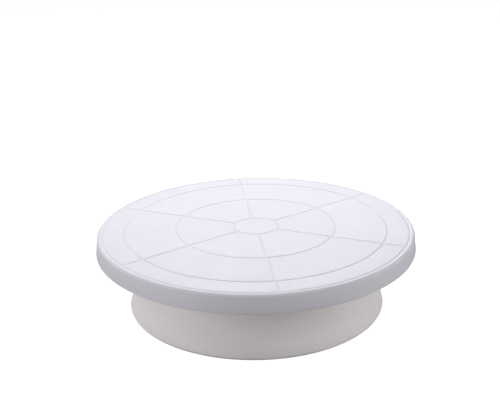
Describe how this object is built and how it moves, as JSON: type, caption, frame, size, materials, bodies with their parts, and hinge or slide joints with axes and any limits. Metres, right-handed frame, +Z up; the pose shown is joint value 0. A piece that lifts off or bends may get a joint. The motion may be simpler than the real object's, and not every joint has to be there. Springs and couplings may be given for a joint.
{
  "type": "cake turntable",
  "caption": "Round white plastic cake decorating turntable: a grooved plate with a plain skirt, spinning on a ball bearing over a bowl-shaped base with rubber feet.",
  "frame": {"origin": "on the spin axis, on the surface that the feet stand on", "axes": "+Z up along the spin axis, +X to the right and -Y towards the front as the object is pictured"},
  "size_m": [0.28, 0.28, 0.07],
  "materials": {
    "plate_plastic": "satin moulded polypropylene",
    "base_plastic": "satin moulded polypropylene",
    "natural_acetal": "natural acetal",
    "nylon": "natural nylon",
    "bright_steel": "ground steel",
    "zinc_steel": "zinc plated",
    "grey_rubber": "matt rubber"
  },
  "bodies": {
    "base": {"base_shell": "base_plastic", "foot_pad_1": "grey_rubber", "foot_pad_2": "grey_rubber", "foot_pad_3": "grey_rubber", "foot_pad_4": "grey_rubber", "foot_pad_5": "grey_rubber", "foot_pad_6": "grey_rubber", "spindle_bush": "natural_acetal", "thrust_washer": "nylon"},
    "plate": {"turntable_plate": "plate_plastic", "spindle": "bright_steel", "retaining_washer": "zinc_steel", "lock_washer": "zinc_steel", "retaining_screw": "zinc_steel"},
    "cage": {"ball_cage": "natural_acetal"},
    "ball_01": {"bearing_ball_01": "bright_steel"},
    "ball_02": {"bearing_ball_02": "bright_steel"},
    "ball_03": {"bearing_ball_03": "bright_steel"},
    "ball_04": {"bearing_ball_04": "bright_steel"},
    "ball_05": {"bearing_ball_05": "bright_steel"},
    "ball_06": {"bearing_ball_06": "bright_steel"},
    "ball_07": {"bearing_ball_07": "bright_steel"},
    "ball_08": {"bearing_ball_08": "bright_steel"},
    "ball_09": {"bearing_ball_09": "bright_steel"},
    "ball_10": {"bearing_ball_10": "bright_steel"},
    "ball_11": {"bearing_ball_11": "bright_steel"},
    "ball_12": {"bearing_ball_12": "bright_steel"},
    "ball_13": {"bearing_ball_13": "bright_steel"},
    "ball_14": {"bearing_ball_14": "bright_steel"},
    "ball_15": {"bearing_ball_15": "bright_steel"},
    "ball_16": {"bearing_ball_16": "bright_steel"}
  },
  "joints": [
    {"name": "plate_spin", "type": "hinge", "parent": "base", "child": "plate", "pos_m": [0, 0, 0.0604], "axis": [0, 0, 1], "continuous": true},
    {"name": "cage_spin", "type": "hinge", "parent": "base", "child": "cage", "pos_m": [0, 0, 0.0532], "axis": [0, 0, 1], "continuous": true},
    {"name": "ball_01_roll", "type": "hinge", "parent": "cage", "child": "ball_01", "pos_m": [0.064, 0, 0.0532], "axis": [1, 0, 0], "continuous": true},
    {"name": "ball_02_roll", "type": "hinge", "parent": "cage", "child": "ball_02", "pos_m": [0.05913, 0.02449, 0.0532], "axis": [0.9239, 0.3827, 0], "continuous": true},
    {"name": "ball_03_roll", "type": "hinge", "parent": "cage", "child": "ball_03", "pos_m": [0.04525, 0.04525, 0.0532], "axis": [0.7071, 0.7071, 0], "continuous": true},
    {"name": "ball_04_roll", "type": "hinge", "parent": "cage", "child": "ball_04", "pos_m": [0.02449, 0.05913, 0.0532], "axis": [0.3827, 0.9239, 0], "continuous": true},
    {"name": "ball_05_roll", "type": "hinge", "parent": "cage", "child": "ball_05", "pos_m": [0, 0.064, 0.0532], "axis": [0, 1, 0], "continuous": true},
    {"name": "ball_06_roll", "type": "hinge", "parent": "cage", "child": "ball_06", "pos_m": [-0.02449, 0.05913, 0.0532], "axis": [-0.3827, 0.9239, 0], "continuous": true},
    {"name": "ball_07_roll", "type": "hinge", "parent": "cage", "child": "ball_07", "pos_m": [-0.04525, 0.04525, 0.0532], "axis": [-0.7071, 0.7071, 0], "continuous": true},
    {"name": "ball_08_roll", "type": "hinge", "parent": "cage", "child": "ball_08", "pos_m": [-0.05913, 0.02449, 0.0532], "axis": [-0.9239, 0.3827, 0], "continuous": true},
    {"name": "ball_09_roll", "type": "hinge", "parent": "cage", "child": "ball_09", "pos_m": [-0.064, 0, 0.0532], "axis": [-1, 0, 0], "continuous": true},
    {"name": "ball_10_roll", "type": "hinge", "parent": "cage", "child": "ball_10", "pos_m": [-0.05913, -0.02449, 0.0532], "axis": [-0.9239, -0.3827, 0], "continuous": true},
    {"name": "ball_11_roll", "type": "hinge", "parent": "cage", "child": "ball_11", "pos_m": [-0.04525, -0.04525, 0.0532], "axis": [-0.7071, -0.7071, 0], "continuous": true},
    {"name": "ball_12_roll", "type": "hinge", "parent": "cage", "child": "ball_12", "pos_m": [-0.02449, -0.05913, 0.0532], "axis": [-0.3827, -0.9239, 0], "continuous": true},
    {"name": "ball_13_roll", "type": "hinge", "parent": "cage", "child": "ball_13", "pos_m": [0, -0.064, 0.0532], "axis": [0, -1, 0], "continuous": true},
    {"name": "ball_14_roll", "type": "hinge", "parent": "cage", "child": "ball_14", "pos_m": [0.02449, -0.05913, 0.0532], "axis": [0.3827, -0.9239, 0], "continuous": true},
    {"name": "ball_15_roll", "type": "hinge", "parent": "cage", "child": "ball_15", "pos_m": [0.04525, -0.04525, 0.0532], "axis": [0.7071, -0.7071, 0], "continuous": true},
    {"name": "ball_16_roll", "type": "hinge", "parent": "cage", "child": "ball_16", "pos_m": [0.05913, -0.02449, 0.0532], "axis": [0.9239, -0.3827, 0], "continuous": true}
  ],
  "couplings": [
    {"joint": "cage_spin", "follows": "plate_spin", "ratio": 0.55556},
    {"joint": "ball_01_roll", "follows": "plate_spin", "ratio": -11.852},
    {"joint": "ball_02_roll", "follows": "plate_spin", "ratio": -11.852},
    {"joint": "ball_03_roll", "follows": "plate_spin", "ratio": -11.852},
    {"joint": "ball_04_roll", "follows": "plate_spin", "ratio": -11.852},
    {"joint": "ball_05_roll", "follows": "plate_spin", "ratio": -11.852},
    {"joint": "ball_06_roll", "follows": "plate_spin", "ratio": -11.852},
    {"joint": "ball_07_roll", "follows": "plate_spin", "ratio": -11.852},
    {"joint": "ball_08_roll", "follows": "plate_spin", "ratio": -11.852},
    {"joint": "ball_09_roll", "follows": "plate_spin", "ratio": -11.852},
    {"joint": "ball_10_roll", "follows": "plate_spin", "ratio": -11.852},
    {"joint": "ball_11_roll", "follows": "plate_spin", "ratio": -11.852},
    {"joint": "ball_12_roll", "follows": "plate_spin", "ratio": -11.852},
    {"joint": "ball_13_roll", "follows": "plate_spin", "ratio": -11.852},
    {"joint": "ball_14_roll", "follows": "plate_spin", "ratio": -11.852},
    {"joint": "ball_15_roll", "follows": "plate_spin", "ratio": -11.852},
    {"joint": "ball_16_roll", "follows": "plate_spin", "ratio": -11.852}
  ]
}
